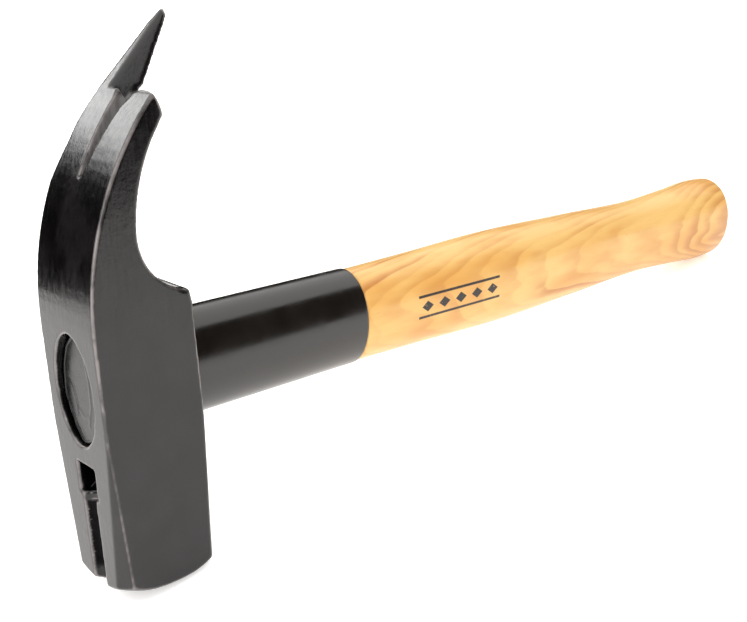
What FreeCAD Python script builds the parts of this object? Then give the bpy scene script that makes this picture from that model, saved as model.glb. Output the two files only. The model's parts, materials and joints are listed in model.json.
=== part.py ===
import FreeCAD, Part
import math
import os
import Sketcher

# Carpenter's claw hammer with a pointed tine, a nail starter and a steel shaft sleeve.
# Design axes, before the hammer is laid down: X along the shaft from the head to the butt,
# Z along the head from the poll up to the claw, Y across the head, origin on the shaft's
# axis in the middle of the eye. Millimetres.

doc = FreeCAD.newDocument("hammer")
sheet = doc.addObject("Spreadsheet::Sheet", "Sizes")

drivingSizes = [
    # head block
    ("head_width", 29.3, "across the cheeks"),
    ("front_reach", 18.3, "shaft axis origin to the front face"),
    ("rear_reach", 12.2, "shaft axis origin to the rear face"),
    ("front_slope", 0.046, "lean of the front face, mm per mm"),
    ("rear_slope", 0.059, "lean of the rear face, mm per mm"),
    ("poll_length", 59.8, "shaft axis to the striking face"),
    ("poll_centre", 0.1, "striking face centre along X"),
    ("face_radius", 11.2, "flat part of the striking face"),
    ("face_rounding", 11.3, "radius of the turned edge"),
    ("flat_top", 8.5, "where the corner flats start below the axis"),
    ("flat_depth", 3.1, "corner flat at the poll end, along X"),
    ("flat_width", 5.6, "corner flat at the poll end, along Y"),
    # claw and tine
    ("claw_start", 17.0, "height where the front face starts to bend"),
    ("claw_front_radius", 87.0, "front bend"),
    ("claw_end", 78.7, "height of the short prong"),
    ("tine_height", 98.2, "height of the tine's tip"),
    ("tine_slope", 0.90, "lean of the tine's front, mm per mm"),
    ("tine_tip", 0.9, "blunt end of the tip"),
    ("waist_x", 4.6, "claw's rear at its waist, in front of the axis"),
    ("waist_height", 43.5, "height of that waist"),
    ("throat_radius", 17.6, "bend from the shoulder into the waist"),
    ("shoulder_inset", 1.5, "shoulder's corner in front of the rear face"),
    ("claw_rear_radius", 48.6, "rear bend"),
    ("tine_root", 73.0, "height where the rear bend ends"),
    ("prong_cut_run", 2.0, "lean of the short prong's end"),
    ("prong_cut_rise", 4.6, "height of the short prong's end"),
    ("tine_front_edge", 6.2, "inner edge of the tine's front, from the middle"),
    ("tine_inner_run", 5.4, "how far its inner side leans inwards"),
    ("tine_taper_start", 54.0, "height where the tine's outer side starts"),
    ("tine_shoulder", 12.5, "tine's outer side below its point, from the middle"),
    ("tine_shoulder_height", 65.0, "height where that outer side starts"),
    ("tine_point_height", 70.0, "height where the outer side turns in to the tip"),
    ("tine_tip_offset", 7.2, "outer side at the tip, from the middle"),
    ("tine_bevel_height", 3.6, "height of the bevel that ends the outer side"),
    ("tine_bevel_width", 1.5, "width of that bevel"),
    ("slot_end", 57.0, "height of the nail slot's closed end"),
    ("slot_offset", 0.5, "slot's closed end from the middle"),
    ("slot_end_width", 0.9, "closed end"),
    ("slot_far_run", 0.2, "spread of the far side at the mouth"),
    ("slot_near_run", 4.6, "spread of the near side at the mouth"),
    ("slot_far_flare", 0.65, "flare of the far side at the mouth"),
    ("slot_near_flare", 1.1, "flare of the near side at the mouth"),
    ("slot_flare_height", 2.6, "height of the flare"),
    # nail starter
    ("nail_offset", 0.6, "nail starter's middle, off the head's middle"),
    ("pocket_top", 21.6, "below the shaft axis"),
    ("pocket_seat", 28.4, "lower end of the deep part"),
    ("pocket_bottom", 32.0, "lower end of the lip"),
    ("lip_slope", 0.6, "drop of the lip towards the front"),
    ("pocket_width", 9.6, "room for a nail's head"),
    ("pocket_depth", 7.0, "below the front face"),
    ("groove_radius", 3.4, "round channel for the nail's shank"),
    ("groove_depth", 2.9, "below the front face"),
    ("magnet_radius", 3.2, "nail magnet"),
    ("magnet_length", 4.0, "nail magnet"),
    # eye
    ("eye_width", 19.8, "at the front face"),
    ("eye_height", 32.8, "at the front face"),
    ("eye_rear_width", 20.4, "at the sleeve's seat"),
    ("eye_rear_height", 29.0, "at the sleeve's seat"),
    ("eye_recess", 1.9, "front face to the seal"),
    ("seal_thickness", 1.2, "lacquered seal"),
    ("sleeve_seat", 3.0, "depth of the sleeve's seat in the rear face"),
    # sleeve and handle
    ("sleeve_width", 23.7, "outside, across"),
    ("sleeve_height", 32.2, "outside, upright"),
    ("sleeve_wall", 1.3, "steel tube"),
    ("sleeve_end", 79.0, "shaft axis origin to the sleeve's end"),
    ("butt_end", 300.8, "shaft axis origin to the butt"),
    ("butt_rounding", 3.0, "rounding of the butt's rim"),
    ("grip_start_height", 30.9, "next to the sleeve"),
    ("blend_place", 106.6, "blend between those two, from the origin"),
    ("belly_height", 34.3, "thickest part behind the sleeve"),
    ("belly_place", 148.0, "belly from the origin"),
    ("waist_grip_height", 30.9, "thinnest part of the grip"),
    ("waist_grip_place", 246.0, "waist of the grip from the origin"),
    ("flare_place", 269.0, "middle of the flare towards the butt"),
    ("knob_height", 35.8, "swell near the butt"),
    ("knob_place", 289.0, "swell from the origin"),
    ("butt_height", 34.9, "at the butt"),
    ("grip_roundness", 0.77, "width of the grip over its height"),
    # wedges
    ("wedge_length", 20.0, "wooden wedge"),
    ("wedge_thickness", 3.2, "at the eye's mouth"),
    ("wedge_tip", 0.8, "thin end"),
    ("wedge_height", 25.0, "along the eye"),
    ("ring_radius", 5.6, "ring wedge outside"),
    ("ring_wall", 1.1, "ring wedge"),
    ("ring_length", 8.0, "ring wedge"),
    # fits
    ("fit_clearance", 0.05, "all driven and pressed fits, per side"),
    ("magnet_clearance", 0.1, "magnet in its hole, per side"),
]

for row, (alias, value, meaning) in enumerate(drivingSizes, start=1):
    sheet.set(f"A{row}", meaning)
    sheet.set(f"B{row}", str(value))
    sheet.setAlias(f"B{row}", alias)
doc.recompute()


class Size:
    """A number together with the expression over the sheet's cells that gives it."""

    def __init__(self, value, text):
        self.value = value
        self.text = text

    def _join(self, other, sign, result):
        text = other.text if isinstance(other, Size) else repr(other)
        return Size(result, f"({self.text} {sign} {text})")

    def __add__(self, other):
        return self._join(other, "+", self.value + number(other))

    def __sub__(self, other):
        return self._join(other, "-", self.value - number(other))

    def __mul__(self, other):
        return self._join(other, "*", self.value * number(other))

    def __truediv__(self, other):
        return self._join(other, "/", self.value / number(other))

    def __neg__(self):
        return self * -1


def number(size):
    return size.value if isinstance(size, Size) else float(size)


def root(size):
    return Size(math.sqrt(size.value), f"sqrt({size.text})")


def cell(alias):
    return Size(float(sheet.get(alias)), f"Sizes.{alias}")


class Cells:
    """Gives each alias of the sheet as a Size, such as of.head_width."""

    def __getattr__(self, alias):
        return cell(alias)


of = Cells()


def bind(feature, prop, size):
    feature.setExpression(prop, size.text if isinstance(size, Size) else repr(size))


# ---------------------------------------------------------------- sketches and features


def originFeature(body, role):
    return [f for f in body.Origin.OriginFeatures if f.Role == role][0]


def newSketch(body, name, role, lift=None, turn=None):
    """A sketch on one of the body's origin planes, lifted along the plane's normal."""
    sketch = body.newObject("Sketcher::SketchObject", name)
    sketch.AttachmentSupport = [(originFeature(body, role), "")]
    sketch.MapMode = "FlatFace"
    if turn is not None:
        sketch.AttachmentOffset = turn
    if lift is not None:
        bind(sketch, "AttachmentOffset.Base.z", lift)
    return sketch


def lock(sketch, geometry, point, x, y):
    """Ties one point of the sketch to its place with two dimensions."""
    for kind, size in (("DistanceX", x), ("DistanceY", y)):
        index = sketch.addConstraint(
            Sketcher.Constraint(kind, -1, 1, geometry, point, number(size))
        )
        bind(sketch, f"Constraints[{index}]", size)


def outline(sketch, corners):
    """A closed outline. A corner is (x, y), or (x, y, radius, side) where the stretch that
    leads on from it is an arc; side is +1 for an arc that bulges to the right of its run."""
    count = len(corners)
    for i, corner in enumerate(corners):
        nextCorner = corners[(i + 1) % count]
        start = FreeCAD.Vector(number(corner[0]), number(corner[1]), 0)
        end = FreeCAD.Vector(number(nextCorner[0]), number(nextCorner[1]), 0)
        startPoint, endPoint = 1, 2
        if len(corner) == 2:
            sketch.addGeometry(Part.LineSegment(start, end), False)
        else:
            radius, side = number(corner[2]), corner[3]
            run = end - start
            across = FreeCAD.Vector(run.y, -run.x, 0).normalize() * side
            sagitta = radius - math.sqrt(radius**2 - (run.Length / 2) ** 2)
            middle = (start + end) / 2 + across * sagitta
            if side < 0:  # a sketch's arcs always turn anticlockwise
                start, end = end, start
                startPoint, endPoint = 2, 1
            sketch.addGeometry(Part.Arc(start, middle, end), False)
            index = sketch.addConstraint(Sketcher.Constraint("Radius", i, radius))
            bind(sketch, f"Constraints[{index}]", corner[2])
        lock(sketch, i, startPoint, corner[0], corner[1])
        lock(sketch, i, endPoint, nextCorner[0], nextCorner[1])


def circle(sketch, x, y, radius):
    centre = FreeCAD.Vector(number(x), number(y), 0)
    index = sketch.addGeometry(
        Part.Circle(centre, FreeCAD.Vector(0, 0, 1), number(radius)), False
    )
    lock(sketch, index, 3, x, y)
    size = sketch.addConstraint(Sketcher.Constraint("Radius", index, number(radius)))
    bind(sketch, f"Constraints[{size}]", radius)


def oval(sketch, width, height):
    """An upright ellipse round the sketch's origin."""
    tall, wide = number(height) / 2, number(width) / 2
    top = FreeCAD.Vector(0, tall, 0)
    side = FreeCAD.Vector(wide, 0, 0)
    index = sketch.addGeometry(Part.Ellipse(top, side, FreeCAD.Vector(0, 0, 0)), False)
    sketch.exposeInternalGeometry(index)
    sketch.addConstraint(Sketcher.Constraint("Coincident", index, 3, -1, 1))
    sketch.addConstraint(Sketcher.Constraint("Vertical", index + 1))
    for axis, size in ((index + 1, height), (index + 2, width)):
        place = sketch.addConstraint(Sketcher.Constraint("Distance", axis, number(size)))
        bind(sketch, f"Constraints[{place}]", size)


def extrude(body, kind, name, sketch, length=None, side="One side", back=False):
    feature = body.newObject(kind, name)
    feature.Profile = sketch
    feature.SideType = side
    feature.Reversed = back
    if length is None:
        feature.Type = "ThroughAll"
        feature.Type2 = "ThroughAll"
    else:
        bind(feature, "Length", length)
    doc.recompute()
    return feature


def loft(body, kind, name, sketches):
    feature = body.newObject(kind, name)
    feature.Profile = sketches[0]
    feature.Sections = sketches[1:]
    feature.Ruled = True
    doc.recompute()
    return feature


def cutBy(body, makeCut, name):
    """Runs one cut and makes sure that it took material away."""
    before = body.Shape.Volume
    feature = makeCut()
    if body.Shape.Volume > before - 1e-3:
        raise RuntimeError(f"{name} cuts nothing")
    return feature


def pocket(body, name, sketch, length=None, side="One side", back=False):
    return cutBy(
        body,
        lambda: extrude(body, "PartDesign::Pocket", name, sketch, length, side, back),
        name,
    )


# ---------------------------------------------------------------- shared places


def frontAt(height):
    """X of the head's front face at a height below the bend."""
    return -of.front_reach - of.front_slope * height


def rearAt(height):
    return of.rear_reach - of.rear_slope * height


seatPlane = of.rear_reach - of.sleeve_seat  # bottom of the sleeve's seat
sealFront = of.eye_recess - of.front_reach
woodFront = sealFront + of.seal_thickness


def eyeSize(front, rear, place):
    """Width or height of the tapered eye at a place along X."""
    share = (place + of.front_reach) / (seatPlane + of.front_reach)
    return front + (rear - front) * share


def eyeWidth(place):
    return eyeSize(of.eye_width, of.eye_rear_width, place)


def eyeHeight(place):
    return eyeSize(of.eye_height, of.eye_rear_height, place)


# ---------------------------------------------------------------- hammer head

MARGIN = 6.0  # how far cutting outlines stand clear of the metal


def prongEdgeX():
    """X of the short prong's front edge, where the front bend ends."""
    slant = root(of.front_slope * of.front_slope + 1)
    centreX = frontAt(of.claw_start) + of.claw_front_radius / slant
    centreZ = of.claw_start + of.claw_front_radius * of.front_slope / slant
    rise = of.claw_end - centreZ
    reach = root(of.claw_front_radius * of.claw_front_radius - rise * rise)
    return centreX - reach


def headBlank(body):
    """Forged blank: the side view, as wide as the head."""
    endX = prongEdgeX()
    tipX = endX + (of.tine_height - of.claw_end) * of.tine_slope

    rearRise = of.tine_root - of.waist_height
    rearReach = root(of.claw_rear_radius * of.claw_rear_radius - rearRise * rearRise)
    rootX = of.claw_rear_radius - of.waist_x - rearReach

    # the throat's arc meets the rear face's line at the shoulder
    shoulderX = of.rear_reach - of.shoulder_inset
    throatX = of.throat_radius - of.waist_x
    throatRun = shoulderX - throatX
    throatDrop = root(of.throat_radius * of.throat_radius - throatRun * throatRun)
    shoulderZ = of.waist_height - throatDrop

    poll = of.poll_length
    corners = [
        (frontAt(-poll), -poll),
        (frontAt(of.claw_start), of.claw_start, of.claw_front_radius, -1),
        (endX, of.claw_end),
        (tipX, of.tine_height),
        (tipX, of.tine_height - of.tine_tip * 2),
        (rootX, of.tine_root, of.claw_rear_radius, 1),
        (-of.waist_x, of.waist_height, of.throat_radius, 1),
        (shoulderX, shoulderZ),
        (rearAt(-poll), -poll),
    ]
    sketch = newSketch(body, "side_view", "XZ_Plane")
    outline(sketch, corners)
    extrude(body, "PartDesign::Pad", "blank", sketch, of.head_width, "Symmetric")


def cornerFlat(body, name, faceAt, inwards):
    """A flat on one long corner of the poll, widening towards the striking face, and its
    mirror image on the other cheek."""
    overlap = 0.5  # the cutter stands proud of both faces by this share of the flat
    vanishing = 0.02  # share of the flat at its top; a loft can't start from nothing
    low = of.poll_length + MARGIN
    sections = []
    for label, height, share in (("top", of.flat_top, vanishing), ("low", low, 1.0)):
        depth = of.flat_depth * share * inwards
        width = of.flat_width * share
        face = faceAt(-height)
        edge = -of.head_width / 2
        sketch = newSketch(body, f"{name}_{label}", "XY_Plane", -height)
        outline(
            sketch,
            [
                (face + depth * (1 + overlap), edge - width * overlap),
                (face - depth * overlap, edge + width * (1 + overlap)),
                (face - depth * overlap, edge - width * overlap),
            ],
        )
        sections.append(sketch)
    cut = cutBy(
        body, lambda: loft(body, "PartDesign::SubtractiveLoft", name, sections), name
    )
    before = body.Shape.Volume
    mirror = body.newObject("PartDesign::Mirrored", f"{name}_mirrored")
    mirror.Originals = [cut]
    mirror.MirrorPlane = (originFeature(body, "XZ_Plane"), [""])
    body.Tip = mirror
    doc.recompute()
    if body.Shape.Volume > before - 1e-3:
        raise RuntimeError(f"{name} isn't mirrored")


def turnedPoll(body):
    """The poll's end is turned round: a flat face with a large rounded edge."""
    sketch = newSketch(body, "turned_edge", "XZ_Plane")
    bind(sketch, "AttachmentOffset.Base.x", of.poll_centre)
    lowest = -of.poll_length
    spread = of.face_rounding * 0.9  # the head's corners lie inside this spread
    rise = of.face_rounding - root(
        of.face_rounding * of.face_rounding - spread * spread
    )
    outline(
        sketch,
        [
            (of.face_radius, lowest, of.face_rounding, 1),
            (of.face_radius + spread, lowest + rise),
            (of.head_width + MARGIN, lowest + rise),
            (of.head_width + MARGIN, lowest - MARGIN),
            (of.face_radius, lowest - MARGIN),
        ],
    )

    def revolve():
        groove = body.newObject("PartDesign::Groove", "turned_poll")
        groove.Profile = sketch
        groove.ReferenceAxis = (sketch, ["V_Axis"])
        groove.Angle = 360
        doc.recompute()
        return groove

    cutBy(body, revolve, "turned_poll")


def clawCuts(body):
    # outer side of the tine, seen from the front
    edge = of.head_width / 2
    sketch = newSketch(body, "tine_outer_side", "YZ_Plane")
    outline(
        sketch,
        [
            (edge, of.tine_taper_start),
            (of.tine_shoulder, of.tine_shoulder_height),
            (of.tine_shoulder, of.tine_point_height),
            (of.tine_tip_offset + of.tine_bevel_width, of.tine_height - of.tine_bevel_height),
            (of.tine_tip_offset, of.tine_height),
            (of.tine_tip_offset, of.tine_height + MARGIN),
            (edge + MARGIN, of.tine_height + MARGIN),
            (edge + MARGIN, of.tine_taper_start),
        ],
    )
    pocket(body, "tine_outer_cut", sketch, side="Symmetric")

    # the short prong ends on a slanted plane; beyond it the tine's inner side leans inwards
    slant = root(
        of.prong_cut_run * of.prong_cut_run + of.prong_cut_rise * of.prong_cut_rise
    )
    angle = math.degrees(
        math.atan2(of.prong_cut_rise.value, of.prong_cut_run.value)
    )
    startX = prongEdgeX()
    sketch = newSketch(
        body,
        "prong_end",
        "XY_Plane",
        turn=FreeCAD.Placement(
            FreeCAD.Vector(startX.value, 0, of.claw_end.value),
            FreeCAD.Rotation(FreeCAD.Vector(0, 1, 0), angle),
        ),
    )
    bind(sketch, "AttachmentOffset.Base.x", startX)
    bind(sketch, "AttachmentOffset.Base.z", of.claw_end)
    bind(
        sketch,
        "AttachmentOffset.Rotation.Angle",
        Size(angle, f"atan2({of.prong_cut_rise.text}; {of.prong_cut_run.text})"),
    )
    deep = slant * 3  # well past the rear face
    outline(
        sketch,
        [
            (-MARGIN, of.tine_front_edge + of.tine_inner_run / slant * MARGIN),
            (deep, of.tine_front_edge - of.tine_inner_run / slant * deep),
            (deep, -edge - MARGIN),
            (-MARGIN, -edge - MARGIN),
        ],
    )
    direction = FreeCAD.Vector(of.tine_slope.value, 0, 1)

    def cutPastProng():
        feature = body.newObject("PartDesign::Pocket", "prong_cut")
        feature.Profile = sketch
        feature.UseCustomVector = True
        feature.Direction = direction
        bind(feature, "Direction.x", of.tine_slope)
        feature.AlongSketchNormal = False
        bind(feature, "Length", of.tine_height)
        doc.recompute()
        return feature

    cutBy(body, cutPastProng, "prong_cut")


def nailSlot(body):
    """V-shaped slot between the short prong and the tine, flared at its mouth."""
    far = of.slot_offset + of.slot_end_width / 2
    near = of.slot_offset - of.slot_end_width / 2
    farMouth = far + of.slot_far_run
    nearMouth = near - of.slot_near_run
    flareStart = of.claw_end - of.slot_flare_height
    sketch = newSketch(body, "nail_slot", "YZ_Plane")
    outline(
        sketch,
        [
            (far, of.slot_end),
            (farMouth, flareStart),
            (farMouth + of.slot_far_flare, of.claw_end),
            (nearMouth - of.slot_near_flare * 2, of.claw_end + of.slot_flare_height),
            (nearMouth, flareStart),
            (near, of.slot_end),
        ],
    )
    pocket(body, "nail_slot_cut", sketch, side="Symmetric")


def nailStarter(body):
    """Pocket for a nail's head, a round channel for its shank and a hole for a magnet."""
    surface = frontAt(-of.pocket_seat)
    floor = surface + of.pocket_depth
    grooveFloor = frontAt(-of.pocket_bottom) + of.groove_depth

    sketch = newSketch(body, "nail_pocket", "XZ_Plane", of.nail_offset)
    outline(
        sketch,
        [
            (surface - MARGIN, -of.pocket_top),
            (floor, -of.pocket_top),
            (floor, -of.pocket_seat),
            (grooveFloor, of.lip_slope - of.pocket_bottom),
            (surface - MARGIN, -of.pocket_bottom),
        ],
    )
    pocket(body, "nail_pocket_cut", sketch, of.pocket_width, "Symmetric")

    sections = []
    grooveTop = (of.pocket_seat + of.pocket_bottom) / 2
    for label, height in (("top", grooveTop), ("low", of.poll_length + MARGIN)):
        sketch = newSketch(body, f"nail_groove_{label}", "XY_Plane", -height)
        centre = frontAt(-height) + of.groove_depth - of.groove_radius
        circle(sketch, centre, -of.nail_offset, of.groove_radius)
        sections.append(sketch)
    cutBy(
        body,
        lambda: loft(body, "PartDesign::SubtractiveLoft", "nail_groove", sections),
        "nail_groove",
    )

    sketch = newSketch(body, "magnet_hole", "YZ_Plane", floor)
    centre = -(of.pocket_top + of.pocket_seat) / 2
    circle(sketch, -of.nail_offset, centre, of.magnet_radius + of.magnet_clearance)
    pocket(body, "magnet_hole_cut", sketch, of.magnet_length + of.magnet_clearance, back=True)


def eyeAndSeat(body):
    sections = []
    for label, place in (("front", -of.front_reach - MARGIN), ("rear", of.rear_reach + MARGIN)):
        sketch = newSketch(body, f"eye_{label}", "YZ_Plane", place)
        oval(sketch, eyeWidth(place), eyeHeight(place))
        sections.append(sketch)
    cutBy(body, lambda: loft(body, "PartDesign::SubtractiveLoft", "eye", sections), "eye")

    sketch = newSketch(body, "sleeve_seat", "YZ_Plane", seatPlane)
    oval(
        sketch,
        of.sleeve_width + of.fit_clearance * 2,
        of.sleeve_height + of.fit_clearance * 2,
    )
    pocket(body, "sleeve_seat_cut", sketch, of.sleeve_seat * 2, back=True)


def hammerHead():
    body = doc.addObject("PartDesign::Body", "hammer_head")
    headBlank(body)
    cornerFlat(body, "front_flat", frontAt, 1)
    cornerFlat(body, "rear_flat", rearAt, -1)
    turnedPoll(body)
    clawCuts(body)
    nailSlot(body)
    eyeAndSeat(body)
    nailStarter(body)
    return body


# ---------------------------------------------------------------- sleeve and seal


def shaftSleeve():
    body = doc.addObject("PartDesign::Body", "shaft_sleeve")
    start = seatPlane + of.fit_clearance
    sketch = newSketch(body, "tube_section", "YZ_Plane", start)
    oval(sketch, of.sleeve_width, of.sleeve_height)
    extrude(body, "PartDesign::Pad", "tube", sketch, of.sleeve_end - start)
    sketch = newSketch(body, "tube_bore", "YZ_Plane", start)
    oval(
        sketch,
        of.sleeve_width - of.sleeve_wall * 2,
        of.sleeve_height - of.sleeve_wall * 2,
    )
    pocket(body, "bore", sketch, of.sleeve_end, back=True)
    return body


def eyeSeal():
    """Lacquered resin seal over the shaft's end, a little below the front face."""
    body = doc.addObject("PartDesign::Body", "eye_seal")
    sections = []
    for label, place in (("front", sealFront), ("rear", woodFront - of.fit_clearance)):
        sketch = newSketch(body, f"seal_{label}", "YZ_Plane", place)
        oval(
            sketch,
            eyeWidth(place) - of.fit_clearance * 2,
            eyeHeight(place) - of.fit_clearance * 2,
        )
        sections.append(sketch)
    loft(body, "PartDesign::AdditiveLoft", "seal", sections)
    return body


# ---------------------------------------------------------------- wedges


def wedgeTool(name, clearance):
    """Wooden wedge, or with a clearance the kerf that it fills."""
    body = doc.addObject("PartDesign::Body", name)
    sketch = newSketch(body, f"{name}_outline", "XY_Plane")
    thick = of.wedge_thickness / 2 + clearance
    thin = of.wedge_tip / 2 + clearance
    far = woodFront + of.wedge_length + clearance
    outline(sketch, [(woodFront, -thick), (far, -thin), (far, thin), (woodFront, thick)])
    extrude(
        body,
        "PartDesign::Pad",
        f"{name}_pad",
        sketch,
        of.wedge_height + clearance * 2,
        "Symmetric",
    )
    return body


def ringTool(name, clearance):
    """Steel ring wedge, or with a clearance the round kerf that it cuts in the wood."""
    body = doc.addObject("PartDesign::Body", name)
    sketch = newSketch(body, f"{name}_outline", "YZ_Plane", woodFront)
    circle(sketch, 0, 0, of.ring_radius + clearance)
    circle(sketch, 0, 0, of.ring_radius - of.ring_wall - clearance)
    extrude(body, "PartDesign::Pad", f"{name}_pad", sketch, of.ring_length + clearance)
    return body


def cutObject(name, base, tool):
    feature = doc.addObject("Part::Cut", name)
    feature.Base = base
    feature.Tool = tool
    doc.recompute()
    return feature


# ---------------------------------------------------------------- handle


def ovalSection(name, place, width, height):
    """An ellipse across the shaft; a Part ellipse's longer half comes first."""
    section = doc.addObject("Part::Ellipse", name)
    bind(section, "MajorRadius", height / 2)
    bind(section, "MinorRadius", width / 2)
    turn = FreeCAD.Rotation(
        FreeCAD.Vector(0, 0, 1), FreeCAD.Vector(0, 1, 0), FreeCAD.Vector(1, 0, 0), "ZXY"
    )
    section.Placement = FreeCAD.Placement(FreeCAD.Vector(number(place), 0, 0), turn)
    bind(section, "Placement.Base.x", place)
    return section


def loftObject(name, sections, ruled):
    feature = doc.addObject("Part::Loft", name)
    feature.Sections = sections
    feature.Solid = True
    feature.Ruled = ruled
    doc.recompute()
    return feature


def gripSections():
    """Place and height of each section from the sleeve to the butt."""
    slope = (of.belly_place + of.waist_grip_place) / 2
    return [
        (of.sleeve_end, of.grip_start_height),
        (of.blend_place, (of.grip_start_height * 2 + of.belly_height) / 3),
        (of.belly_place, of.belly_height),
        (slope, (of.belly_height + of.waist_grip_height) / 2),
        (of.waist_grip_place, of.waist_grip_height),
        (of.flare_place, (of.waist_grip_height + of.knob_height) / 2),
        (of.knob_place, of.knob_height),
        (of.butt_end, of.butt_height),
    ]


def handle():
    fit = of.fit_clearance
    tenon = loftObject(
        "tenon",
        [
            ovalSection(f"tenon_{i}", place, eyeWidth(place) - fit * 2, eyeHeight(place) - fit * 2)
            for i, place in enumerate((woodFront, seatPlane))
        ],
        True,
    )
    neckWidth = of.sleeve_width - of.sleeve_wall * 2 - fit * 2
    neckHeight = of.sleeve_height - of.sleeve_wall * 2 - fit * 2
    neck = loftObject(
        "neck",
        [
            ovalSection(f"neck_{i}", place, neckWidth, neckHeight)
            for i, place in enumerate((seatPlane, of.sleeve_end))
        ],
        True,
    )
    grip = loftObject(
        "grip",
        [
            ovalSection(f"grip_{i}", place, height * of.grip_roundness, height)
            for i, (place, height) in enumerate(gripSections())
        ],
        False,
    )
    rim = min(
        range(len(grip.Shape.Edges)),
        key=lambda i: -grip.Shape.Edges[i].BoundBox.XMin,
    )
    rounded = doc.addObject("Part::Fillet", "rounded_butt")
    rounded.Base = grip
    rounded.Edges = [(rim + 1, of.butt_rounding.value, of.butt_rounding.value)]
    doc.recompute()

    joined = doc.addObject("Part::MultiFuse", "handle_blank")
    joined.Shapes = [tenon, neck, rounded]
    doc.recompute()
    kerfed = cutObject("handle_kerfed", joined, wedgeTool("kerf", fit))
    return cutObject("handle", kerfed, ringTool("ring_kerf", fit))


# ---------------------------------------------------------------- magnet


def nailMagnet():
    """Pressed into its hole until its face is level with the pocket's floor."""
    magnet = doc.addObject("Part::Cylinder", "nail_magnet")
    bind(magnet, "Radius", of.magnet_radius)
    bind(magnet, "Height", of.magnet_length)
    floor = frontAt(-of.pocket_seat) + of.pocket_depth
    centre = -(of.pocket_top + of.pocket_seat) / 2
    turn = FreeCAD.Rotation(FreeCAD.Vector(0, 1, 0), 90)
    magnet.Placement = FreeCAD.Placement(
        FreeCAD.Vector(number(floor), -of.nail_offset.value, number(centre)), turn
    )
    return magnet


# ---------------------------------------------------------------- laying the hammer down


def lean():
    """Angle by which the shaft drops towards its butt when the hammer stands on the
    rounded rim of its poll and the rounded rim of its butt, both on the ground."""
    poll = FreeCAD.Vector(
        (of.poll_centre + of.face_radius).value,
        0,
        (of.face_rounding - of.poll_length).value,
    )
    butt = FreeCAD.Vector(
        (of.butt_end - of.butt_rounding).value,
        0,
        (of.butt_rounding - of.butt_height / 2).value,
    )
    run = butt - poll
    dropOfRims = (of.face_rounding - of.butt_rounding).value
    return math.atan2(run.z, run.x) + math.asin(dropOfRims / run.Length)


pieces = {
    "hammer_head": hammerHead(),
    "handle": handle(),
    "shaft_sleeve": shaftSleeve(),
    "eye_seal": eyeSeal(),
    "nail_magnet": nailMagnet(),
    "ring_wedge": ringTool("ring_wedge", 0),
    "eye_wedge": cutObject(
        "eye_wedge", wedgeTool("wedge_blank", 0), ringTool("wedge_kerf", of.fit_clearance)
    ),
}
doc.recompute()

laidDown = FreeCAD.Placement(
    FreeCAD.Vector(0, 0, 0),
    FreeCAD.Rotation(FreeCAD.Vector(0, 1, 0), math.degrees(lean())),
)
for piece in pieces.values():
    piece.Placement = laidDown * piece.Placement
doc.recompute()

whole = FreeCAD.BoundBox()
for piece in pieces.values():
    whole.add(piece.Shape.optimalBoundingBox(False, False))
toOrigin = FreeCAD.Placement(
    FreeCAD.Vector(-whole.Center.x, -whole.Center.y, -whole.ZMin), FreeCAD.Rotation()
)
for name, piece in pieces.items():
    piece.Placement = toOrigin * piece.Placement
    piece.Label = name
doc.recompute()

for feature in doc.Objects:
    if "Invalid" in feature.State or "Error" in feature.State:
        raise RuntimeError(f"{feature.Name} failed: {feature.State}")
for name, piece in pieces.items():
    if piece.Shape.isNull() or not piece.Shape.isValid() or not piece.Shape.Solids:
        raise RuntimeError(f"{name} has no valid solid")

os.makedirs("parts", exist_ok=True)
for name, piece in pieces.items():
    piece.Shape.exportStep(f"parts/{name}.step")
    box = piece.Shape.BoundBox
    print(
        f"{name}: {len(piece.Shape.Solids)} solid, {piece.Shape.Volume / 1000:.2f} cm3, "
        f"{box.XLength:.1f} x {box.YLength:.1f} x {box.ZLength:.1f} mm"
    )
print(f"lean {math.degrees(lean()):.2f} degrees")
print(f"whole {whole.XLength:.1f} x {whole.YLength:.1f} x {whole.ZLength:.1f} mm")
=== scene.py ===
import json
import math

import bpy
import numpy as np
from mathutils import Matrix, Vector, noise


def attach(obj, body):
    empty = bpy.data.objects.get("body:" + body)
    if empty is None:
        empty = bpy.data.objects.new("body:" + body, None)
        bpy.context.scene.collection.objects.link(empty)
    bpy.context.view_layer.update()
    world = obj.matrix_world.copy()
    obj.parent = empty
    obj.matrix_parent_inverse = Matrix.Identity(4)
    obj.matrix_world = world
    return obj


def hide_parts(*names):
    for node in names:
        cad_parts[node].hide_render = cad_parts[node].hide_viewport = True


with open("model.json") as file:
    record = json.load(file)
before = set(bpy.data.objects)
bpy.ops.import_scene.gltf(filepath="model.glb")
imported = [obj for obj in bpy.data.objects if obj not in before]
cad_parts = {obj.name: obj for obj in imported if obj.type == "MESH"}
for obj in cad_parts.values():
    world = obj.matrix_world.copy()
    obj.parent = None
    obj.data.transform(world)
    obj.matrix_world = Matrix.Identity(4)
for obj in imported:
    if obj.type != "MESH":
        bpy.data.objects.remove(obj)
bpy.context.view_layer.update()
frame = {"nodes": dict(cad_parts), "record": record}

nodes = frame["nodes"]

# the hammer's own axes: X along the handle, Z up the head, zero in the middle of the eye
grip = next(m for m in frame["record"]["mounts"] if m["name"] == "grip")
handleLine = Vector(grip["axis"])
lean = math.atan2(-handleLine.z, handleLine.x)
eyeMiddle = Vector(grip["pos_m"]) - handleLine * 0.190  # the grip's middle is 190 mm out
laidDown = Matrix.Translation(eyeMiddle) @ Matrix.Rotation(lean, 4, "Y")
print("frame loaded, handle leans", round(math.degrees(lean), 2), "degrees")


# small helpers

def smoothStep(value, low, high):
    share = np.clip((value - low) / (high - low), 0, 1)
    return share * share * (3 - 2 * share)


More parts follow.
